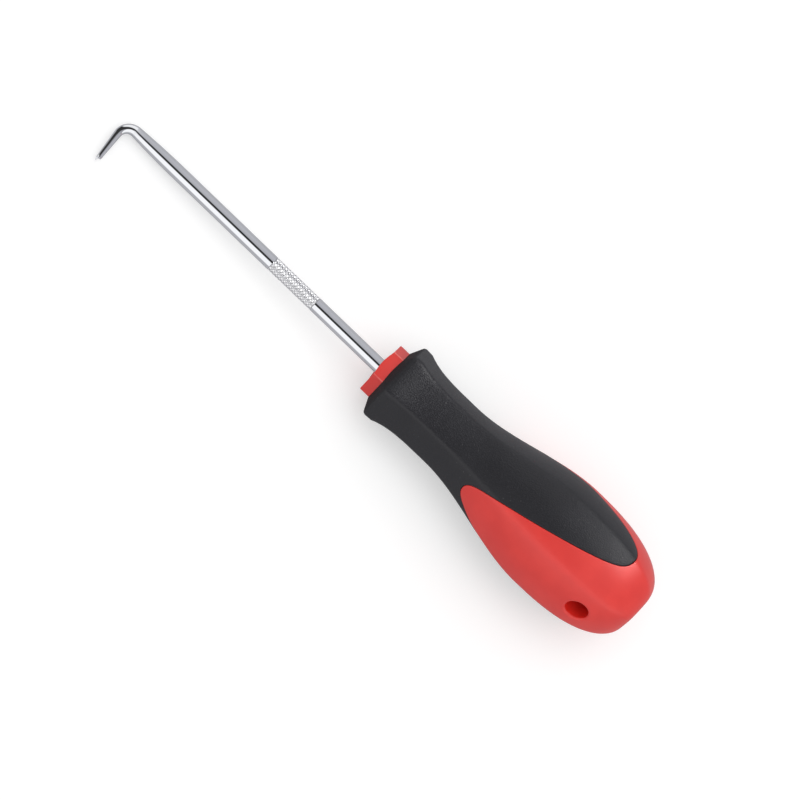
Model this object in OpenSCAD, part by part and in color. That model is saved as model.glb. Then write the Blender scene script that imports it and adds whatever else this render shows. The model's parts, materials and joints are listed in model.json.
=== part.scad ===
// O-ring pick: a chromed steel rod with a bent, tapered hook, set in a red
// moulded handle that has a black soft grip moulded over its front.
// Lengths are in millimetres. Along the tool, stations are measured from the
// front face of the hex collar: forwards for the rod, backwards for the handle.

/* [Rod] */
// Diameter of the rod
rod_d = 4; // [3:0.1:5]
// Distance from the collar face to the corner of the hook
rod_reach = 89.7; // [75:0.1:120]
// Length of the tang that the handle holds
tang_len = 46; // [30:1:52]
// Width across the two wings pressed out of the tang
wing_span = 7; // [6:0.1:9]
// Thickness of the wings
wing_t = 1.2; // [0.8:0.1:2]
// Length of the wings
wing_len = 6; // [4:0.5:9]
// Distance from the end of the tang to the wings
wing_back = 8; // [4:0.5:12]

/* [Hook] */
// Length over which the rod thins before the bend
taper_len = 15.4; // [8:0.1:25]
// Diameter where the bend starts
bend_d = 3.1; // [2.4:0.1:3.6]
// Diameter where the leg starts
leg_d = 2.1; // [1.5:0.1:2.6]
// Diameter of the leg at its blunt end
tip_d = 1.4; // [0.9:0.1:1.8]
// Angle that the rod turns through at the bend
bend_angle = 97; // [80:1:110]
// Bend radius at the middle of the rod
bend_r = 3.2; // [2.4:0.1:5]
// Distance of the leg's blunt end from the rod's axis
hook_drop = 11.6; // [9:0.1:16]
// Length of the ground point beyond the blunt end
point_len = 1; // [0.4:0.1:1.6]
// Diameter of the ground point at its root
point_d = 0.7; // [0.4:0.05:0.85]

/* [Knurl] */
// Distance from the collar face to the knurled band
knurl_from = 23.1; // [10:0.1:30]
// Length of the knurled band
knurl_len = 14.8; // [6:0.1:20]
// Depth of the knurling
knurl_depth = 0.2; // [0.1:0.01:0.35]
// Length of one diamond along the rod
knurl_pitch = 1; // [0.9:0.05:2.6]
// Diamonds round the band
knurl_count = 11; // [8:1:24]

/* [Handle] */
// Length of the handle
handle_len = 90; // [82:0.5:110]
// Width of the hex collar across its flats
collar_af = 13.4; // [11:0.1:14]
// Length of the collar in front of the grip
collar_len = 3.1; // [2:0.1:6]
// Bevel round the front of the collar
collar_bevel = 0.3; // [0.1:0.05:0.8]
// How far two opposite flats of the collar bow forwards
collar_bow = 0.45; // [0:0.05:0.6]
// Largest radius of the handle
bulb_r = 16; // [13:0.1:17]
// Distance from the collar face to the largest radius
bulb_at = 62; // [55:0.5:66]
// Radius of the flat spot at the butt
butt_r = 5; // [3:0.1:7]
// How full the butt is, as the power of its curve
butt_fullness = 2.6; // [2:0.1:4]
// Gap between the tang and the plastic round it
tang_gap = 0.02; // [0.01:0.01:0.1]

/* [Hang hole] */
// Diameter of the hang hole
hole_d = 6; // [4:0.1:7]
// Distance from the butt to the middle of the hang hole
hole_from_butt = 12; // [10:0.5:16]

/* [Grip] */
// Distance from the collar face to the front edge of the lip
lip_at = 4.9; // [4.5:0.1:7]
// Length of the land behind the lip
lip_land = 2.7; // [1.5:0.1:4]
// Radius of the lip
lip_r = 11.8; // [10.5:0.1:12.5]
// How much the radius falls along the land
lip_fall = 0.15; // [0:0.05:0.4]
// Rounding of the lip's front edge
lip_round = 0.9; // [0.5:0.1:1.4]
// Radius of the waist
waist_r = 9.8; // [9.5:0.1:10.4]
// Distance from the collar face to the waist
waist_at = 25; // [18:0.5:28]
// How fast the flare falls away behind the lip, as a power
flare_power = 4; // [2:0.5:5]
// Thickness of the soft material from the waist backwards
grip_t = 2; // [1.2:0.1:2.4]
// How far the soft material stands over the red windows
grip_proud = 0.05; // [0.05:0.05:0.4]
// Length over which the grip's rear edge rounds down to the windows
edge_round = 1.4; // [0.6:0.1:2.5]
// Distance from the collar face to the front of the red windows
window_from = 36; // [32:0.5:42]
// Distance from the collar face to the tips of the two tongues
tongue_to = 80; // [70:0.5:82]
// How blunt the tongues and the windows are
edge_bluntness = 0.35; // [0:0.05:0.5]

/* [Section] */
// Share of hexagon in the section at the lip
lip_facet = 1; // [0.8:0.05:1]
// Share of hexagon in the section at the waist
waist_facet = 0.75; // [0.4:0.05:0.9]
// Share of hexagon in the section from the bulb to the butt
bulb_facet = 0.45; // [0.2:0.05:0.6]
// Sharpness of the ridges along the handle
ridge_power = 30; // [16:2:60]

/* [Hidden] */
$fn = 64;
around = 72;
hook_sides = 24;
bed_steps = 10;
grip_steps = 18;
rear_steps = 12;
taper_steps = 8;
bend_steps = 12;
leg_steps = 5;
lip_steps = 3;
seam = 0.2;
hook_root = 0.985;
tongue_angle = 120;
bow_angle = 90;
face_share = 0.8;
hole_angle = 30;
drill_turn = 20;
tip_flat_r = 0.06;
rod_r = rod_d / 2;
collar_r = collar_af / 2 / cos(30);
lip_end = lip_at + lip_land;
land_r = lip_r - lip_fall;
bend_from = rod_reach - bend_r * tan(bend_angle / 2);
taper_from = bend_from - taper_len;
leg_len = (hook_drop - bend_r * (1 - cos(bend_angle))) / sin(bend_angle);
knurl_points = 2 * knurl_count;
knurl_rows = round(2 * knurl_len / knurl_pitch);

// Shape of the handle

function share(value, low, high) = min(1, max(0, (value - low) / (high - low)));
function ease(t) = t * t * (3 - 2 * t);
function swell(h) = ease(share(h, waist_at, bulb_at));

// Radius at the corners of the section, at a station behind the collar face
function handle_r(h) =
    h < lip_end ? lip_r - lip_fall * share(h, lip_at, lip_end)
    : h < waist_at ? waist_r + (land_r - waist_r) * pow(1 - share(h, lip_end, waist_at), flare_power)
    : h < bulb_at ? waist_r + (bulb_r - waist_r) * swell(h)
    : butt_r + (bulb_r - butt_r) * sqrt(1 - pow(share(h, bulb_at, handle_len), butt_fullness));

// Hexagons of corner radius 1, one sharp and one with rounded corners
function hexagon(a) = cos(30) / cos(a - 60 * floor(a / 60) - 30);
function soft_hexagon(a) =
    let (sides = [for (k = [0 : 5]) pow(max(0, cos(a - 30 - 60 * k)), ridge_power)])
    cos(30) * pow(2 / (sides * [1, 1, 1, 1, 1, 1]), 1 / ridge_power);

// A section between a circle and a rounded hexagon of corner radius r
function section(r, facet, a) = r * (1 - facet + facet * soft_hexagon(a));
function facet(h) =
    h < waist_at ? lip_facet + (waist_facet - lip_facet) * share(h, lip_end, waist_at)
    : waist_facet + (bulb_facet - waist_facet) * swell(h);
function skin(h, a) = section(handle_r(h), facet(h), a);
function window_skin(h, a) = skin(h, a) * (1 - grip_proud / bulb_r);

function mix(first, second, t) = first + (second - first) * t;
function collar_skin(a) = collar_r * hexagon(a);

// The bed of the grip on the core: the collar's hexagon in front, an even depth behind
function bed(h, a) =
    mix(collar_skin(a), section(handle_r(h) - grip_t, facet(h), a), share(h, lip_end, waist_at));

// The grip's rear edge runs back in two tongues, with a red window on each side between them
function blunted(wave) = wave * (1 + edge_bluntness) - edge_bluntness * pow(wave, 3);
function grip_edge(a) =
    window_from + (tongue_to - window_from) * (1 + blunted(cos(2 * (a - tongue_angle)))) / 2;

function on_tool(h, r, a) = [-h, r * cos(a), r * sin(a)];
angles = [for (j = [0 : around - 1]) 360 * j / around];

// The collar's edges bow forwards in the middle of two opposite flats
function bow(a) = abs(cos(a - bow_angle)) > cos(30) ? abs(cos(3 * (a - bow_angle))) : 0;
function collar_ring(h, cut, reach) = [
    for (a = angles) on_tool(h - reach * bow(a), (collar_r - cut) * hexagon(a), a)
];
collar_foot = collar_ring(collar_len, 0, collar_bow / 2);

bed_rings = [
    for (i = [0 : bed_steps]) [
        for (a = angles)
            let (h = lip_end + (grip_edge(a) - lip_end) * i / bed_steps)
            on_tool(h, bed(h, a), a)
    ]
];

rear_rings = [
    for (i = [0 : rear_steps]) [
        for (a = angles)
            let (h = grip_edge(a) + (handle_len - grip_edge(a)) * sin(90 * i / rear_steps))
            on_tool(h, window_skin(h, a), a)
    ]
];

core_rings = concat(
    [collar_ring(0, collar_r * (1 - face_share), 0)],
    [collar_ring(0, collar_bevel, collar_bow)],
    [collar_ring(collar_bevel, 0, collar_bow)],
    [collar_foot],
    bed_rings,
    rear_rings
);

// The lip's rounded edge, from the sloped front face to the land
lip_slope = [lip_at - collar_len, lip_r - collar_r] / norm([lip_at - collar_len, lip_r - collar_r]);
function lip_curve(t) =
    [lip_at, lip_r] - lip_slope * lip_round * pow(1 - t, 2) + [lip_round, -lip_fall * lip_round / lip_land] * t * t;

lip_rings = [
    for (i = [0 : lip_steps])
        let (p = lip_curve(i / lip_steps), out = share(p[1], collar_r, lip_r))
        [for (a = angles) on_tool(p[0], p[1] * mix(hexagon(a), section(1, lip_facet, a), out), a)]
];

grip_rings = [
    for (i = [0 : grip_steps]) [
        for (a = angles)
            let (h = lip_end + (grip_edge(a) - edge_round - lip_end) * i / grip_steps)
            on_tool(h, skin(h, a), a)
    ]
];

sleeve_rings = concat(
    [collar_foot],
    lip_rings,
    grip_rings,
    [rear_rings[0]],
    [for (i = [bed_steps : -1 : 0]) bed_rings[i]]
);

// Shape of the hook, as rings square to the bent line of the rod

function hook_ring(at, turn, r, shift = 0) = [
    for (j = [0 : hook_sides - 1])
        let (a = 360 * j / hook_sides, side = shift + r * cos(a))
        [at[0] - side * sin(turn), at[1] + side * cos(turn), r * sin(a)]
];
function bend_at(turn) = [bend_from + bend_r * sin(turn), bend_r * (1 - cos(turn))];
function leg_at(length) = bend_at(bend_angle) + length * [cos(bend_angle), sin(bend_angle)];

// The hook's facets start just inside the round rod
root_r = rod_r * hook_root;
point_shift = (point_d - tip_d) / 2;
hook_rings = concat(
    [hook_ring(leg_at(leg_len + point_len), bend_angle, tip_flat_r, point_shift)],
    [hook_ring(leg_at(leg_len + tip_flat_r), bend_angle, point_d / 2, point_shift)],
    [for (i = [leg_steps : -1 : 1])
        let (t = i / leg_steps)
        hook_ring(leg_at(leg_len * t), bend_angle, (leg_d + (tip_d - leg_d) * t) / 2)],
    [for (i = [bend_steps : -1 : 1])
        let (t = i / bend_steps)
        hook_ring(bend_at(bend_angle * t), bend_angle * t, (bend_d + (leg_d - bend_d) * t) / 2)],
    [for (i = [taper_steps : -1 : 0])
        let (t = i / taper_steps)
        hook_ring([taper_from + taper_len * t, 0], 0, root_r + (bend_d / 2 - root_r) * t * t)],
    [hook_ring([taper_from - seam, 0], 0, root_r)]
);

// Shape of the knurling: peaks and valleys alternate, like squares on a chessboard
function knurl_x(i) = knurl_from + knurl_len * (1 - i / knurl_rows);
knurl_rings = concat(
    [[for (j = [0 : knurl_points - 1]) let (a = 360 * j / knurl_points)
        on_tool(-knurl_from - knurl_len - seam, rod_r - knurl_depth, a)]],
    [for (i = [0 : knurl_rows]) [
        for (j = [0 : knurl_points - 1])
            let (a = 360 * j / knurl_points, peak = i > 0 && i < knurl_rows && (i + j) % 2 == 0)
            on_tool(-knurl_x(i), rod_r - (peak ? 0 : knurl_depth), a)
    ]],
    [[for (j = [0 : knurl_points - 1]) let (a = 360 * j / knurl_points)
        on_tool(-knurl_from + seam, rod_r - knurl_depth, a)]]
);

// The tool at rest: it lies on one flat of its lip and one of its bulb

lip_lows = [for (ring = concat(lip_rings, [grip_rings[0]])) [-ring[0][0], -min([for (p = ring) p[2]])]];
bulb_lows = [
    for (h = [waist_at : 1 : handle_len])
        [h, max([for (a = angles) -(h < grip_edge(a) ? skin(h, a) : window_skin(h, a)) * sin(a)])]
];
function rise(low, front) = (low[1] - front[1]) / (low[0] - front[0]);
rest_tilt = atan(min([for (front = lip_lows) max([for (low = bulb_lows) rise(low, front)])]));

all_points = [
    for (ring = concat(core_rings, sleeve_rings, hook_rings), p = ring)
        [p[0] * cos(rest_tilt) + p[2] * sin(rest_tilt), p[1], p[2] * cos(rest_tilt) - p[0] * sin(rest_tilt)]
];
xs = [for (p = all_points) p[0]];
ys = [for (p = all_points) p[1]];
zs = [for (p = all_points) p[2]];

module lay_down() {
    translate([-(min(xs) + max(xs)) / 2, -(min(ys) + max(ys)) / 2, -min(zs)])
        rotate([0, rest_tilt, 0])
            children();
}

// Solids from rings of points

function ring_index(rings, i, j) =
    let (n = len(rings[0])) (i % len(rings)) * n + (j % n);

// Two triangles for each cell, split along the one diagonal or the other
function cell(rings, i, j, other) =
    let (
        a = ring_index(rings, i, j),
        b = ring_index(rings, i + 1, j),
        c = ring_index(rings, i + 1, j + 1),
        d = ring_index(rings, i, j + 1)
    )
    other ? [[a, d, b], [d, c, b]] : [[a, d, c], [a, c, b]];

function cells(rings, last, other) = [
    for (i = [0 : last], j = [0 : len(rings[0]) - 1], f = cell(rings, i, j, other(i, j))) f
];

function flat_points(rings) = [for (ring = rings, p = ring) p];

// A solid through rings, with a flat cap at each end
module loft(rings, other = function (i, j) false) {
    n = len(rings[0]);
    last = len(rings) - 1;
    front = [for (j = [n - 1 : -1 : 0]) j];
    back = [for (j = [0 : n - 1]) last * n + j];
    polyhedron(flat_points(rings), concat(cells(rings, last - 1, other), [front, back]), convexity = 6);
}

// A sleeve through rings that come back to the first one; from the ring numbered
// inside on, it meets the core, and its cells are split as the core's are
module closed_loft(rings, inside) {
    polyhedron(flat_points(rings), cells(rings, len(rings) - 1, function (i, j) i >= inside), convexity = 6);
}

module rod_bar(from, to, r) {
    translate([from, 0, 0])
        rotate([0, 90, 0])
            cylinder(h = to - from, r = r);
}

module tang_wings(gap) {
    translate([wing_back - tang_len, 0, 0])
        translate([-gap, -wing_span / 2 - gap, -wing_t / 2 - gap])
            cube([wing_len + 2 * gap, wing_span + 2 * gap, wing_t + 2 * gap]);
}

// The pieces

module pick_rod() {
    color([0.78, 0.79, 0.82])
        lay_down()
            union() {
                rod_bar(-tang_len, knurl_from, rod_r);
                loft(knurl_rings, function (i, j) (i + j) % 2 == 1);
                rod_bar(knurl_from + knurl_len, taper_from, rod_r);
                loft(hook_rings);
                tang_wings(0);
            }
}

module handle_core() {
    color([0.85, 0.13, 0.1])
        lay_down()
            difference() {
                loft(core_rings);
                rod_bar(-tang_len - tang_gap, collar_len, rod_r + tang_gap);
                tang_wings(tang_gap);
                translate([hole_from_butt - handle_len, 0, 0])
                    rotate([hole_angle - 90, 0, 0])
                        rotate([0, 0, drill_turn])
                            cylinder(h = 4 * bulb_r, r = hole_d / 2, center = true);
            }
}

module grip_sleeve() {
    color([0.12, 0.12, 0.13])
        lay_down()
            closed_loft(sleeve_rings, 1 + len(lip_rings) + len(grip_rings));
}

pick_rod();
handle_core();
grip_sleeve();
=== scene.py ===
"""The o-ring pick, dressed: a chromed hook rod, a red moulded handle and its black soft grip.

The pieces are modelled along the tool's own axis and then laid down where the frame has them.
Lengths are in metres. Along the handle, stations run back from the front face of the hex collar,
and along the rod they run forwards from it. Angles round the tool start at +Y and turn to +Z.
"""

import json
import math

import bmesh
import bpy
from mathutils import Matrix, Vector


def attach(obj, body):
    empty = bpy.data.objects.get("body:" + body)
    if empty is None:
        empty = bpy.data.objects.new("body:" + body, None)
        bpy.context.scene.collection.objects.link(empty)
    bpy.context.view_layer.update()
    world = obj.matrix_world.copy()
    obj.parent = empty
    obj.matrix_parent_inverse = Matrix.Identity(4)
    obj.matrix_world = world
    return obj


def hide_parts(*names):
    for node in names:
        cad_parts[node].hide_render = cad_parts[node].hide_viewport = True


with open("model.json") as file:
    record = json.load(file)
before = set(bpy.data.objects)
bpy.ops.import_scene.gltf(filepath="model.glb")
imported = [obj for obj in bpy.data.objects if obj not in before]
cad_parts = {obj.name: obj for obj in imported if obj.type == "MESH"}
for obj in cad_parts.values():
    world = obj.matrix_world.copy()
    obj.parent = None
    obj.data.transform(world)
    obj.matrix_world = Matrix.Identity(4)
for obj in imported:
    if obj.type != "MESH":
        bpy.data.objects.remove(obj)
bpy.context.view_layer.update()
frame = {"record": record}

# Smooth curves stay this much inside the facets of the solids
HAIR = 0.00003

# The rod and its hook
ROD_R = 0.0020
TANG_LEN = 0.046
ROD_REACH = 0.0897 - HAIR
TAPER_LEN = 0.0154
BEND_R = 0.0032
BEND_ANGLE = math.radians(97)
BEND_START_R = 0.00155
LEG_START_R = 0.00105
LEG_END_R = 0.0007
HOOK_DROP = 0.0116
POINT_LEN = 0.0010
POINT_R = 0.00035
POINT_FLAT_R = 0.00006
END_ROUND = 0.0001
ROD_SIDES = 64
TAPER_STEPS = 16
BEND_STEPS = 28
LEG_STEPS = 10

# The knurled band
KNURL_FROM = 0.0231
KNURL_LEN = 0.0148
KNURL_DEPTH = 0.0002
KNURL_PITCH = 0.0010
KNURL_COUNT = 11
KNURL_FINENESS = 12
KNURL_FLATNESS = 1.25
KNURL_NECK = 0.00008

# The handle
HANDLE_LEN = 0.090 - HAIR
COLLAR_R = 0.0067 / math.cos(math.radians(30))
COLLAR_LEN = 0.0031
FACE_SHARE = 0.8
COLLAR_ROUND = 0.0003
COLLAR_BOW = 0.00045
BOW_ANGLE = math.radians(90)
MOUTH_R = 0.00205
MOUTH_BEVEL = 0.0002
MOUTH_DEPTH = 0.003
BULB_R = 0.016 - HAIR
BULB_AT = 0.062
BUTT_R = 0.005
BUTT_FULLNESS = 2.6
HOLE_R = 0.003
HOLE_AT = 0.078
HOLE_ANGLE = math.radians(30)
HOLE_RIM = 0.0007
HOLE_RIM_CLEAR = 0.0002
HOLE_RIM_START = math.radians(12)
HOLE_SIDES = 96
HOLE_MOUTH_ROUNDS = 8

# The grip
LIP_AT = 0.0049
LIP_LAND = 0.0027
LIP_R = 0.0118 - HAIR
LIP_FALL = 0.00015
LIP_ROUND = 0.0009
WAIST_R = 0.0098
WAIST_AT = 0.025
FLARE_POWER = 4
GRIP_T = 0.002
GRIP_PROUD = 0.00005
GRIP_FOOT = 0.0001
WINDOW_FROM = 0.036
TONGUE_TO = 0.080
TONGUE_ANGLE = math.radians(120)
EDGE_BLUNTNESS = 0.35
EDGE_ROUND = 0.0003
WINDOW_ROUND = 0.00015
PARTING = 0.00008
LIP_FACET = 1.0
WAIST_FACET = 0.75
BULB_FACET = 0.45
RIDGE_POWER = 30
COLLAR_POWER = 84

# How finely the handle is drawn
HANDLE_SIDES = 288
LIP_STEPS = 10
GRIP_STEPS = 44
BED_STEPS = 6
REAR_STEPS = 44
EDGE_STEPS = 5

# Angles in degrees above which an edge stays crisp
ROD_CREASE = 30
KNURL_CREASE = 25
HANDLE_CREASE = 30
GRIP_CREASE = 40

LIP_END = LIP_AT + LIP_LAND
LAND_R = LIP_R - LIP_FALL
BEND_FROM = ROD_REACH - BEND_R * math.tan(BEND_ANGLE / 2)
BEND_LEN = BEND_R * BEND_ANGLE
TAPER_FROM = BEND_FROM - TAPER_LEN
LEG_LEN = (HOOK_DROP - BEND_R * (1 - math.cos(BEND_ANGLE))) / math.sin(BEND_ANGLE)
LEG_FROM = BEND_FROM + BEND_LEN
LEG_TO = LEG_FROM + LEG_LEN
KNURL_TO = KNURL_FROM + KNURL_LEN
MERGE = 1e-6
QUARTER = math.radians(90)

# The tool's frame in the row: +X along the rod, +Y the way the hook points
mounts = {mount["name"]: mount for mount in frame["record"]["mounts"]}
hole_middle = Vector(mounts["hang_hole"]["pos_m"])
along = (Vector(mounts["rod_clip_seat"]["pos_m"]) - hole_middle).normalized()
sideways = Vector((0, 1, 0))
upwards = along.cross(sideways)
collar_face = hole_middle + HOLE_AT * along
tool_turn = Matrix((along, sideways, upwards)).transposed()
tool_place = Matrix.Translation(collar_face) @ tool_turn.to_4x4()


# Shape of the handle

def share(value, low, high):
    return min(1.0, max(0.0, (value - low) / (high - low)))


def mix(first, second, part):
    return first + (second - first) * part


def swell(h):
    t = share(h, WAIST_AT, BULB_AT)
    return t * t * (3 - 2 * t)


def handle_r(h):
    """Radius at the ridges of the handle, at a station behind the collar face."""
    if h < LIP_END:
        return LIP_R - LIP_FALL * share(h, LIP_AT, LIP_END)
    if h < WAIST_AT:
        return mix(WAIST_R, LAND_R, (1 - share(h, LIP_END, WAIST_AT)) ** FLARE_POWER)
    if h < BULB_AT:
        return mix(WAIST_R, BULB_R, swell(h))
    return mix(BUTT_R, BULB_R, math.sqrt(1 - share(h, BULB_AT, HANDLE_LEN) ** BUTT_FULLNESS))


def hexagon(angle, power):
    """A hexagon of corner radius 1 whose corners are the rounder the lower the power is."""
    sides = sum(max(0.0, math.cos(angle - math.radians(30 + 60 * k))) ** power for k in range(6))
    return math.cos(math.radians(30)) * (2 / sides) ** (1 / power)


def section(r, facet, angle):
    return r * mix(1, hexagon(angle, RIDGE_POWER), facet)


def facet(h):
    if h < WAIST_AT:
        return mix(LIP_FACET, WAIST_FACET, share(h, LIP_END, WAIST_AT))
    return mix(WAIST_FACET, BULB_FACET, swell(h))


def skin(h, angle):
    return section(handle_r(h), facet(h), angle)


def window_skin(h, angle):
    return skin(h, angle) * (1 - GRIP_PROUD / BULB_R)


def collar_skin(angle):
    return COLLAR_R * hexagon(angle, COLLAR_POWER)


def bed(h, angle):
    """The bed of the grip on the core: the collar's hexagon in front, an even depth behind."""
    even = section(handle_r(h) - GRIP_T, facet(h), angle)
    return mix(collar_skin(angle), even, share(h, LIP_END, WAIST_AT))


def grip_edge(angle, off=0.0):
    """Station of the grip's wavy rear edge, moved back square to the edge by off."""
    turn = 2 * (angle - TONGUE_ANGLE)
    wave = math.cos(turn)
    reach = (TONGUE_TO - WINDOW_FROM) / 2
    steepness = 1 + EDGE_BLUNTNESS * (1 - 3 * wave ** 2)
    slope = 2 * reach * math.sin(turn) * steepness / BULB_R
    blunted = wave * (1 + EDGE_BLUNTNESS) - EDGE_BLUNTNESS * wave ** 3
    return WINDOW_FROM + reach * (1 + blunted) + off * math.hypot(1, slope)


def bow(angle):
    """How far the collar's edge bows forwards: two opposite flats do."""
    off = angle - BOW_ANGLE
    return abs(math.cos(3 * off)) if abs(math.cos(off)) > math.cos(math.radians(30)) else 0.0


def rounding(radius, steps):
    """Pairs of run and drop along a quarter round, from its flat end to its steep end."""
    turns = [QUARTER * i / steps for i in range(steps + 1)]
    return [(radius * math.sin(turn), radius * (1 - math.cos(turn))) for turn in turns]


# Modelling

def start_piece(name, add, **settings):
    """Adds a primitive, alone selected, and returns it."""
    bpy.ops.object.select_all(action="DESELECT")
    add(**settings)
    piece = bpy.context.object
    piece.name = name
    return piece


def grow(name, sides, rings):
    """A tube drawn out of a circle, ring by ring. A ring is a rule that gives station and radius
    at an angle; stations run back from the collar face."""
    piece = start_piece(name, bpy.ops.mesh.primitive_circle_add,
                        vertices=sides, radius=ROD_R, rotation=(QUARTER, 0, QUARTER))
    bpy.ops.object.transform_apply(location=False, scale=False)
    bpy.ops.object.mode_set(mode="EDIT")
    bpy.ops.mesh.select_all(action="SELECT")
    step = math.tau / sides
    for count, ring in enumerate(rings):
        if count:
            bpy.ops.mesh.extrude_region_move()
        mesh = bmesh.from_edit_mesh(piece.data)
        for vert in mesh.verts:
            if vert.select:
                angle = step * round(math.atan2(vert.co.z, vert.co.y) / step)
                station, r = ring(angle)
                vert.co = (-station, r * math.cos(angle), r * math.sin(angle))
    bmesh.update_edit_mesh(piece.data)
    return piece


def close_up(piece):
    """Merges what meets, closes the ends and turns the faces outwards; ends edit mode."""
    bpy.ops.mesh.select_all(action="SELECT")
    bpy.ops.mesh.remove_doubles(threshold=MERGE)
    bpy.ops.mesh.fill_holes(sides=0)
    bpy.ops.mesh.normals_make_consistent(inside=False)
    bpy.ops.object.mode_set(mode="OBJECT")


def select_only(piece):
    bpy.ops.object.select_all(action="DESELECT")
    piece.select_set(True)
    bpy.context.view_layer.objects.active = piece


def smooth(piece, degrees):
    select_only(piece)
    bpy.ops.object.shade_smooth_by_angle(angle=math.radians(degrees))


def lay_down(piece, node, material):
    """Puts a finished piece where the frame has the node that it stands for."""
    select_only(piece)
    piece.matrix_world = tool_place
    bpy.ops.object.transform_apply()
    piece.data.materials.clear()
    piece.data.materials.append(material)
    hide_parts(node)
    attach(piece, "root")


def plain_ring(station, r):
    return lambda angle: (station, r)


def lip_ring(part):
    """One ring of the lip's front: the slope up from the collar, then the rounded edge."""
    run, rise = LIP_AT - COLLAR_LEN, LIP_R - COLLAR_R
    slope = Vector((run, rise)).normalized()
    land = Vector((LIP_ROUND, -LIP_FALL * LIP_ROUND / LIP_LAND))
    corner = Vector((LIP_AT, LIP_R))
    station, r = corner - slope * LIP_ROUND * (1 - part) ** 2 + land * part ** 2
    out = share(r, COLLAR_R, LIP_R)

    def ring(angle):
        return station, r * mix(hexagon(angle, COLLAR_POWER), section(1, LIP_FACET, angle), out)
    return ring


def model_grip():
    def foot(rise):
        return lambda angle: (COLLAR_LEN - COLLAR_BOW / 2 * bow(angle), collar_skin(angle) + rise)

    def body(part):
        def ring(angle):
            h = mix(LIP_END, grip_edge(angle, -EDGE_ROUND), part)
            return h, skin(h, angle)
        return ring

    def edge(run, drop):
        def ring(angle):
            h = grip_edge(angle, run - EDGE_ROUND)
            return h, skin(h, angle) - drop
        return ring

    def inside(part):
        def ring(angle):
            h = mix(LIP_END, grip_edge(angle), part)
            return h, bed(h, angle)
        return ring

    rings = [foot(0), foot(GRIP_FOOT)]
    rings += [lip_ring(i / LIP_STEPS) for i in range(LIP_STEPS + 1)]
    rings += [body(i / GRIP_STEPS) for i in range(GRIP_STEPS + 1)]
    rings += [edge(run, drop) for run, drop in rounding(EDGE_ROUND, EDGE_STEPS)[1:]]
    rings += [inside(i / BED_STEPS) for i in range(BED_STEPS, -1, -1)]
    rings += [foot(0)]
    grip = grow("soft_grip", HANDLE_SIDES, rings)
    close_up(grip)
    smooth(grip, GRIP_CREASE)
    return grip


def hole_cutter():
    """The drill for the hang hole, with a rounded rim at each mouth that follows the skin."""
    def mouth_depth(h_off, w, end):
        """Depth from the axis at which a line along the drill meets the skin, found in rounds."""
        s = BULB_R
        h = HOLE_AT + h_off
        for _ in range(HOLE_MOUTH_ROUNDS):
            angle = HOLE_ANGLE + (0 if end > 0 else math.pi) + math.atan2(w * end, s)
            s = math.sqrt(window_skin(h, angle) ** 2 - w * w)
        return s

    def ring(r, depth, end):
        def place(angle):
            w = r * math.sin(angle)
            return end * (mouth_depth(r * math.cos(angle), w, end) - depth), r
        return place

    rim = []
    for i in range(EDGE_STEPS + 2):
        turn = mix(HOLE_RIM_START, QUARTER, i / (EDGE_STEPS + 1))
        rim.append((HOLE_R + HOLE_RIM * (1 - math.sin(turn)), HOLE_RIM * (1 - math.cos(turn))))
    start_r, start_depth = rim[0]
    flare = (start_r + HOLE_RIM_CLEAR * 2, start_depth - HOLE_RIM_CLEAR)
    far = (flare[0], -HOLE_R)
    mouth = [far, flare] + rim
    rings = [ring(r, depth, 1) for r, depth in mouth]
    rings += [ring(r, depth, -1) for r, depth in reversed(mouth)]
    cutter = grow("hang_hole_drill", HOLE_SIDES, rings)
    close_up(cutter)
    return cutter


def model_handle():
    def collar(station, inset, reach=COLLAR_BOW):
        return lambda angle: (station - reach * bow(angle), collar_skin(angle) - inset)

    def under_grip(part):
        def ring(angle):
            h = mix(LIP_END, grip_edge(angle, PARTING), part)
            return h, bed(h, angle)
        return ring

    def window_edge(run, drop):
        def ring(angle):
            h = grip_edge(angle, PARTING + WINDOW_ROUND - run)
            return h, window_skin(h, angle) - drop
        return ring

    def rear(part):
        def ring(angle):
            h = mix(grip_edge(angle, PARTING + WINDOW_ROUND), HANDLE_LEN, math.sin(QUARTER * part))
            return h, window_skin(h, angle)
        return ring

    rings = [
        plain_ring(MOUTH_DEPTH, MOUTH_R),
        plain_ring(MOUTH_BEVEL, MOUTH_R),
        plain_ring(0, MOUTH_R + MOUTH_BEVEL),
        collar(0, COLLAR_R * (1 - FACE_SHARE), 0),
    ]
    rings += [collar(drop, COLLAR_ROUND - run) for run, drop in rounding(COLLAR_ROUND, EDGE_STEPS)]
    rings += [collar(COLLAR_LEN, 0, COLLAR_BOW / 2)]
    rings += [under_grip(i / BED_STEPS) for i in range(BED_STEPS + 1)]
    rings += [window_edge(run, drop) for run, drop in reversed(rounding(WINDOW_ROUND, EDGE_STEPS))]
    rings += [rear(i / REAR_STEPS) for i in range(1, REAR_STEPS + 1)]
    core = grow("red_handle", HANDLE_SIDES, rings)
    close_up(core)

    cutter = hole_cutter()
    drill_axis = Vector((0, math.cos(HOLE_ANGLE), math.sin(HOLE_ANGLE)))
    back = Vector((-1, 0, 0))
    drill_turn = Matrix((-drill_axis, back, (-drill_axis).cross(back))).transposed()
    cutter.matrix_world = Matrix.Translation((-HOLE_AT, 0, 0)) @ drill_turn.to_4x4()
    select_only(core)
    drill = core.modifiers.new("hang_hole", "BOOLEAN")
    drill.operation = "DIFFERENCE"
    drill.solver = "EXACT"
    drill.object = cutter
    bpy.ops.object.modifier_apply(modifier=drill.name)
    bpy.data.objects.remove(cutter)
    smooth(core, HANDLE_CREASE)
    return core


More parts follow.
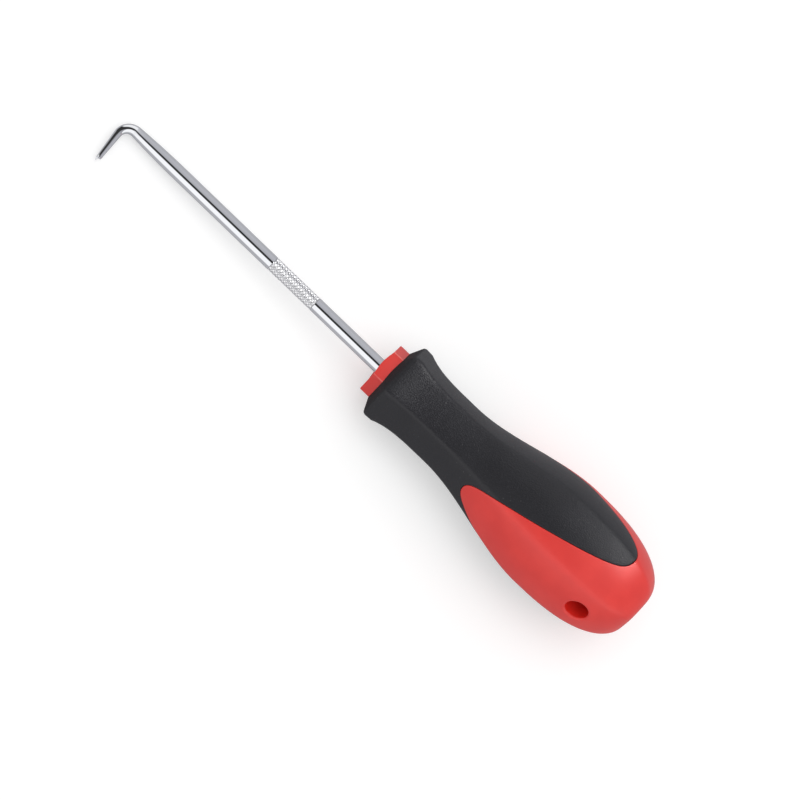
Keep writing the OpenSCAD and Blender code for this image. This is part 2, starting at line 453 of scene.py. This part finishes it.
def carried_round_the_bend(place):
    """Where a point of the straight rod goes when the rod is bent to a hook."""
    x, y, z = place
    if x > LEG_TO + END_ROUND / 2:
        y += POINT_R - LEG_END_R
    turn = BEND_ANGLE * share(x, BEND_FROM, LEG_FROM)
    if x < BEND_FROM:
        return Vector((x, y, z))
    leg = max(0.0, x - LEG_FROM)
    centre_x = BEND_FROM + BEND_R * math.sin(turn) + leg * math.cos(turn)
    centre_y = BEND_R * (1 - math.cos(turn)) + leg * math.sin(turn)
    return Vector((centre_x - y * math.sin(turn), centre_y + y * math.cos(turn), z))


def model_rod():
    neck_r = ROD_R - KNURL_DEPTH - KNURL_NECK / 2
    stations = [(-TANG_LEN, ROD_R - END_ROUND), (END_ROUND - TANG_LEN, ROD_R)]
    stations += [(KNURL_FROM - KNURL_NECK, ROD_R), (KNURL_FROM, neck_r)]
    stations += [(KNURL_TO, neck_r), (KNURL_TO + KNURL_NECK, ROD_R)]
    for i in range(TAPER_STEPS + 1):
        part = i / TAPER_STEPS
        stations.append((TAPER_FROM + TAPER_LEN * part, mix(ROD_R, BEND_START_R, part ** 2)))
    for i in range(1, BEND_STEPS + 1):
        part = i / BEND_STEPS
        stations.append((BEND_FROM + BEND_LEN * part, mix(BEND_START_R, LEG_START_R, part)))
    for i in range(1, LEG_STEPS):
        part = i / LEG_STEPS
        stations.append((LEG_FROM + LEG_LEN * part, mix(LEG_START_R, LEG_END_R, part)))
    for run, drop in reversed(rounding(END_ROUND, EDGE_STEPS)[:-1]):
        stations.append((LEG_TO - drop, LEG_END_R - END_ROUND + run))
    stations += [(LEG_TO + END_ROUND, POINT_R), (LEG_TO + POINT_LEN, POINT_FLAT_R)]
    rod = grow("hook_rod", ROD_SIDES, [plain_ring(-x, r) for x, r in stations])
    close_up(rod)
    for vert in rod.data.vertices:
        vert.co = carried_round_the_bend(vert.co)
    smooth(rod, ROD_CREASE)

    rows = round(KNURL_FINENESS * KNURL_LEN / KNURL_PITCH)
    columns = KNURL_FINENESS * KNURL_COUNT

    def off_groove(turns):
        """0 in the bottom of a groove and 1 midway between two."""
        return 1 - abs(2 * (turns % 1) - 1)

    def row(i):
        def ring(angle):
            length = i / KNURL_FINENESS
            width = angle * KNURL_COUNT / math.tau
            height = KNURL_FLATNESS * min(off_groove(width + length), off_groove(width - length))
            return -mix(KNURL_FROM, KNURL_TO, i / rows), ROD_R - KNURL_DEPTH * (1 - min(1, height))
        return ring

    knurl = grow("knurling", columns, [row(i) for i in range(rows + 1)])
    close_up(knurl)
    smooth(knurl, KNURL_CREASE)
    select_only(rod)
    knurl.select_set(True)
    bpy.ops.object.join()
    return rod


# Finishes

class Wire:
    """A value in a node tree, on which arithmetic adds Math nodes."""

    def __init__(self, tree, socket=None):
        self.tree = tree
        self.socket = socket

    def node(self, kind, settings=None, sockets=None, out=0):
        """Adds a node: its settings first, then the values or links of its sockets."""
        node = self.tree.nodes.new(kind)
        for name, value in (settings or {}).items():
            if name == "stops":
                ramp = node.color_ramp.elements
                while len(ramp) < len(value):
                    ramp.new(1.0)
                for element, (position, colour) in zip(ramp, value):
                    element.position = position
                    element.color = (*colour, 1.0)
            else:
                setattr(node, name, value)
        for name, value in (sockets or {}).items():
            if isinstance(value, Wire):
                self.tree.links.new(value.socket, node.inputs[name])
            else:
                node.inputs[name].default_value = value
        return Wire(self.tree, node.outputs[out] if node.outputs else None)

    def beside(self, name):
        """Another output of the same node."""
        return Wire(self.tree, self.socket.node.outputs[name])

    def math(self, operation, first, second=0.0):
        return self.node("ShaderNodeMath", {"operation": operation}, {0: first, 1: second})

    def __add__(self, other):
        return self.math("ADD", self, other)

    def __radd__(self, other):
        return self.math("ADD", other, self)

    def __sub__(self, other):
        return self.math("SUBTRACT", self, other)

    def __rsub__(self, other):
        return self.math("SUBTRACT", other, self)

    def __mul__(self, other):
        return self.math("MULTIPLY", self, other)

    def __rmul__(self, other):
        return self.math("MULTIPLY", other, self)

    def __truediv__(self, other):
        return self.math("DIVIDE", self, other)

    def step(self, low, high):
        """0 below low and 1 above high, eased between."""
        return self.node("ShaderNodeMapRange", {"interpolation_type": "SMOOTHSTEP"},
                         {"Value": self, "From Min": low, "From Max": high})

    def noise(self, place, scale, detail):
        return self.node("ShaderNodeTexNoise", {}, {"Vector": place, "Scale": scale, "Detail": detail})

    def blend(self, factor, first, second):
        """One colour turning into another."""
        colours = {"Factor": factor, 6: first, 7: second}
        return self.node("ShaderNodeMix", {"data_type": "RGBA"}, colours, 2)

    def bump(self, height, distance):
        return self.node("ShaderNodeBump", {}, {"Height": height, "Distance": distance, "Strength": 1.0})


def new_material(name):
    material = bpy.data.materials.new(name)
    material.use_nodes = True
    material.node_tree.nodes.clear()
    wire = Wire(material.node_tree)
    return material, wire, wire.node("ShaderNodeTexCoord", out="Object")


def finish_material(wire, **sockets):
    named = {name.replace("_", " "): value for name, value in sockets.items()}
    surface = wire.node("ShaderNodeBsdfPrincipled", {}, named)
    wire.node("ShaderNodeOutputMaterial", {}, {"Surface": surface})


def opaque(r, g, b):
    return (r, g, b, 1.0)


# Colours
PLATE = opaque(0.80, 0.81, 0.84)
KNURL_TOP = opaque(0.95, 0.95, 0.96)
# Painted shade: the colour in the bottom of the knurling's grooves
KNURL_GROOVE_SHADE = opaque(0.58, 0.58, 0.60)
RED_DEEP = opaque(0.73, 0.020, 0.013)
RED_LIGHT = opaque(0.78, 0.026, 0.017)
# A pale pink painted as a highlight on the collar's corners
RED_CORNER_HIGHLIGHT = opaque(0.90, 0.34, 0.31)
BLACK_DEEP = opaque(0.011, 0.0108, 0.0138)
BLACK_LIGHT = opaque(0.016, 0.0156, 0.0195)
# Pale specks: partly a dusting, partly painted glints of light
DUST_AND_GLINT = opaque(0.45, 0.44, 0.43)

# Scale and detail of each noise
WIPE_NOISE = (900.0, 3.0)
WAVE_NOISE = (160.0, 1.0)
RED_CLOUD_NOISE = (140.0, 3.0)
RED_FINE_NOISE = (2600.0, 2.0)
GRAIN_NOISE = (2800.0, 3.0)
BLACK_CLOUD_NOISE = (120.0, 2.0)
DUST_AND_GLINT_NOISE = (2400.0, 1.0)

# Values of a noise between which a mark comes in
WIPE_MARKS = (0.45, 0.75)
RED_CLOUDS = (0.35, 0.70)
CORNER_HIGHLIGHT_PLACES = (0.30, 0.60)
DUST_AND_GLINT_SPECKS = (0.74, 0.80)
DUST_AND_GLINT_PLACES = (0.50, 0.60)

# Depths of the unevenness that only the light shows
WAVE_DEPTH = 0.00001
RED_FINE_DEPTH = 0.00001
GRAIN_DEPTH = 0.00007

# Roughness of each finish, and what its marks add
PLATE_ROUGH = 0.05
WIPE_ROUGH = 0.05
KNURL_ROUGH = 0.25
RED_ROUGH = 0.32
RED_CLOUD_ROUGH = 0.08
BLACK_ROUGH = 0.36
BLACK_CLOUD_ROUGH = 0.12
LIP_FRONT_ROUGH = 0.5

# How strongly the two mouldings reflect
RED_SHINE = 0.8
BLACK_SHINE = 0.42

# The upper share of the knurling's depth that the painted groove shade leaves out
KNURL_UNSHADED_SHARE = 0.35
# Where the painted highlight line on a corner of the collar fades, in sixths of a turn from the corner
CORNER_HIGHLIGHT_LINE = (0.012, 0.034)
CORNER_HIGHLIGHT_AMOUNT = 0.65
DUST_AND_GLINT_AMOUNT = 0.25


def reach(wire, place, way):
    """How far a point lies from the middle of the collar face, along one way of the tool."""
    ahead = wire.node("ShaderNodeVectorMath", {"operation": "DOT_PRODUCT"},
                      {0: place, 1: tuple(way)}, "Value")
    return ahead - collar_face.dot(way)


def off_axis(wire, place):
    """How far a point lies from the axis of the tool."""
    side = reach(wire, place, sideways)
    rise = reach(wire, place, upwards)
    return wire.math("SQRT", side * side + rise * rise)


def chrome_plate():
    """Bright plate with faint wipe marks and a slight waviness, satin where it is knurled, with painted
    shade darkening the knurling's grooves.
    """
    material, wire, place = new_material("chrome_plate")
    wipe = wire.noise(place, *WIPE_NOISE)
    wave = wire.noise(place, *WAVE_NOISE)
    station = reach(wire, place, along)
    begun = station.step(KNURL_FROM - KNURL_NECK, KNURL_FROM)
    knurled = begun * (1 - station.step(KNURL_TO, KNURL_TO + KNURL_NECK))
    # Painted shade: the knurling is coloured darker the deeper a point lies in its grooves
    groove_shade_ends = ROD_R - KNURL_DEPTH * KNURL_UNSHADED_SHARE
    groove = 1 - off_axis(wire, place).step(ROD_R - KNURL_DEPTH, groove_shade_ends)
    knurl_with_groove_shade = wire.blend(groove, KNURL_TOP, KNURL_GROOVE_SHADE)
    finish_material(
        wire,
        Base_Color=wire.blend(knurled, PLATE, knurl_with_groove_shade),
        Metallic=1.0,
        Roughness=PLATE_ROUGH + WIPE_ROUGH * wipe.step(*WIPE_MARKS) + KNURL_ROUGH * knurled,
        Normal=wire.bump(wave, WAVE_DEPTH),
    )
    return material


def red_moulding():
    """Semi-gloss moulded plastic with a faint uneven sheen and a painted highlight line along the
    collar's corners.
    """
    material, wire, place = new_material("red_moulding")
    cloud = wire.noise(place, *RED_CLOUD_NOISE)
    fine = wire.noise(place, *RED_FINE_NOISE)
    corner_turn = wire.math("ARCTAN2", reach(wire, place, upwards), reach(wire, place, sideways))
    off_corner = wire.math("PINGPONG", corner_turn / math.radians(60), 0.5)
    on_collar = reach(wire, place, along).step(-COLLAR_LEN - COLLAR_ROUND, -COLLAR_LEN)
    on_rim = off_axis(wire, place).step(COLLAR_R - 2 * COLLAR_ROUND, COLLAR_R - COLLAR_ROUND)
    # Painted highlight: a pale line along each corner of the collar, broken up by a noise, where a
    # rounded corner would catch the light
    on_corner = on_collar * on_rim * (1 - off_corner.step(*CORNER_HIGHLIGHT_LINE))
    corner_highlight = on_corner * cloud.step(*CORNER_HIGHLIGHT_PLACES)
    red = wire.blend(cloud.step(*RED_CLOUDS), RED_DEEP, RED_LIGHT)
    finish_material(
        wire,
        Base_Color=wire.blend(corner_highlight * CORNER_HIGHLIGHT_AMOUNT, red, RED_CORNER_HIGHLIGHT),
        Roughness=RED_ROUGH + RED_CLOUD_ROUGH * cloud,
        Specular_IOR_Level=RED_SHINE,
        Normal=wire.bump(fine, RED_FINE_DEPTH),
    )
    return material


def soft_rubber():
    """Soft moulding with a fine eroded grain and a few pale specks, part dusting and part painted
    glints, dullest on the lip's front.
    """
    material, wire, place = new_material("soft_rubber")
    grain = wire.noise(place, *GRAIN_NOISE)
    cloud = wire.noise(place, *BLACK_CLOUD_NOISE)
    front = reach(wire, place, along).step(-LIP_AT - LIP_ROUND / 2, -LIP_AT + LIP_ROUND / 2)
    # Pale specks at random places: a dusting, and painted glints where the grain would catch the light
    specks = wire.noise(place, *DUST_AND_GLINT_NOISE).step(*DUST_AND_GLINT_SPECKS)
    dust_and_glints = specks * cloud.step(*DUST_AND_GLINT_PLACES)
    worn = wire.blend(cloud, BLACK_DEEP, BLACK_LIGHT)
    finish_material(
        wire,
        Base_Color=wire.blend(dust_and_glints * DUST_AND_GLINT_AMOUNT, worn, DUST_AND_GLINT),
        Roughness=BLACK_ROUGH + BLACK_CLOUD_ROUGH * cloud + LIP_FRONT_ROUGH * front,
        Specular_IOR_Level=BLACK_SHINE,
        Normal=wire.bump(grain, GRAIN_DEPTH),
    )
    return material


lay_down(model_rod(), "pick_rod", chrome_plate())
lay_down(model_handle(), "handle_core", red_moulding())
lay_down(model_grip(), "grip_sleeve", soft_rubber())


# The studio

# Directions of the view in the tool's frame
VIEW_LEAN = 0.213
VIEW_BACK = Vector((0, VIEW_LEAN, math.sqrt(1 - VIEW_LEAN ** 2)))
VIEW_ACROSS = Vector((0, VIEW_BACK.z, -VIEW_BACK.y))
VIEW_ROD = Vector((0.7208, 0.6933))
VIEW_DISTANCE = 0.8
VIEW_LENS = 141.5
VIEW_SENSOR = 36.0
VIEW_NEAR = 0.01
AIM_RIGHT = 0.0050
AIM_UP = -0.008405
WHITE = opaque(1, 1, 1)
FLOOR_SIZE = 6.0
FLOOR_COLOUR = opaque(0.70, 0.70, 0.70)
FLOOR_IN_PLATE = opaque(0.52, 0.52, 0.54)
FLOOR_LIFT = 0.38
WORLD_LEVEL = 0.76
PLATE_DARK = 0.04
HOOK_DARK = 0.04
BOX_IN_ROOM = 7.0
BOX_SIZE = (1.2, 1.0)
BOX_DISTANCE = 0.95
BOX_POWER = 3.2
BOX_FROM = Vector((-0.30, -0.25, 1.0))

# The room as bright surfaces see it. Round the rod, a stop is an angle in degrees from the view,
# a level and a blue cast.
PANELS = [
    (-120, 0.48, 0.02),
    (-70, 0.57, 0.03),
    (-28, 0.50, 0.03),
    (8, 0.34, 0.02),
    (11, 1.15, 0),
    (70, 1.15, 0),
    (82, 0.46, 0),
]
DARK_GAP = [(-24, 0, 0), (-19, 1, 0), (5, 1, 0), (10, 0, 0)]
BOX_SIDES = [(-80, 0, 0), (-70, 1, 0), (-42, 1, 0), (-33, 0, 0)]
# Past the hook, a stop is a share of the way across the view, from side to side, and a level
PAST_HOOK = [(0.235, 1.05), (0.275, HOOK_DARK), (0.44, HOOK_DARK), (0.48, 0.60), (0.60, 1.0)]
# Where these begin and end along the tool, as cosines of the angle to the rod
GAP_BEGINS = (-0.30, -0.12)
BOX_BEGINS = (-0.62, -0.54)
BOX_ENDS = (-0.38, -0.24)
HOOK_BEGINS = (0.19, 0.32)


def add_camera():
    rod_way = Vector((1, 0, 0))
    right = -VIEW_ROD.x * rod_way - VIEW_ROD.y * VIEW_ACROSS
    up = VIEW_ROD.y * rod_way - VIEW_ROD.x * VIEW_ACROSS
    aim = AIM_RIGHT * right + AIM_UP * up
    turn = tool_turn @ Matrix((right, up, VIEW_BACK)).transposed()
    bpy.ops.object.camera_add()
    camera = bpy.context.object
    place = tool_place @ (aim + VIEW_DISTANCE * VIEW_BACK)
    camera.matrix_world = Matrix.Translation(place) @ turn.to_4x4()
    camera.data.lens = VIEW_LENS
    camera.data.sensor_width = VIEW_SENSOR
    camera.data.clip_start = VIEW_NEAR
    bpy.context.scene.camera = camera


def add_floor():
    floor = start_piece("floor", bpy.ops.mesh.primitive_plane_add, size=FLOOR_SIZE)
    material, wire, _ = new_material("pale_floor")
    seen = wire.node("ShaderNodeLightPath", out="Is Camera Ray")
    colour = wire.blend(seen.beside("Is Glossy Ray"), FLOOR_COLOUR, FLOOR_IN_PLATE)
    diffuse = wire.node("ShaderNodeBsdfDiffuse", {}, {"Color": colour})
    lift = wire.node("ShaderNodeEmission", {}, {"Color": WHITE, "Strength": FLOOR_LIFT * seen})
    both = wire.node("ShaderNodeAddShader", {}, {0: diffuse, 1: lift})
    wire.node("ShaderNodeOutputMaterial", {}, {"Surface": both})
    floor.data.materials.append(material)


def add_light():
    """A soft box beside the view, and a room whose panels show only in bright surfaces."""
    towards = (tool_turn @ BOX_FROM).normalized()
    place = collar_face + BOX_DISTANCE * towards
    turn = towards.to_track_quat("Z", "Y").to_euler()
    bpy.ops.object.light_add(type="AREA", location=place, rotation=turn)
    box = bpy.context.object
    box.data.shape = "RECTANGLE"
    box.data.size, box.data.size_y = BOX_SIZE
    box.data.energy = BOX_POWER
    box.visible_glossy = False
    box.visible_camera = False

    world = bpy.data.worlds.new("studio_room")
    world.use_nodes = True
    world.node_tree.nodes.clear()
    bpy.context.scene.world = world
    wire = Wire(world.node_tree)
    ray = wire.node("ShaderNodeTexCoord", out="Generated")

    def along_way(way):
        dot = {"operation": "DOT_PRODUCT"}
        return wire.node("ShaderNodeVectorMath", dot, {0: ray, 1: tuple(tool_turn @ way)}, "Value")

    across = along_way(VIEW_ACROSS)
    facing = along_way(VIEW_BACK)
    forward = along_way(Vector((1, 0, 0)))

    def grey(level, cool=0):
        return (level, level, level + cool)

    def ramp(value, stops):
        return wire.node("ShaderNodeValToRGB", {"stops": stops}, {"Fac": value})

    def round_rod(stops):
        turns = wire.math("ARCTAN2", across, facing) / math.tau + 0.5
        return ramp(turns, [(0.5 + degrees / 360, grey(level, cool)) for degrees, level, cool in stops])

    gap = round_rod(DARK_GAP) * forward.step(*GAP_BEGINS)
    sides = wire.blend(gap, round_rod(PANELS), opaque(*grey(PLATE_DARK)))
    box_seen = round_rod(BOX_SIDES) * forward.step(*BOX_BEGINS) * (1 - forward.step(*BOX_ENDS))
    sides = wire.blend(box_seen, sides, opaque(*grey(BOX_IN_ROOM)))
    past_hook = ramp(across * 0.5 + 0.5, [(stop, grey(level)) for stop, level in PAST_HOOK])
    room = wire.blend(forward.step(*HOOK_BEGINS), sides, past_hook)
    seen = wire.node("ShaderNodeLightPath", out="Is Camera Ray")
    lit = wire.blend(seen.beside("Is Glossy Ray"), opaque(*grey(WORLD_LEVEL)), room)
    colour = wire.blend(seen, lit, WHITE)
    background = wire.node("ShaderNodeBackground", {}, {"Color": colour})
    wire.node("ShaderNodeOutputWorld", {}, {"Surface": background})


add_camera()
add_floor()
add_light()
bpy.context.scene.view_settings.view_transform = "Standard"
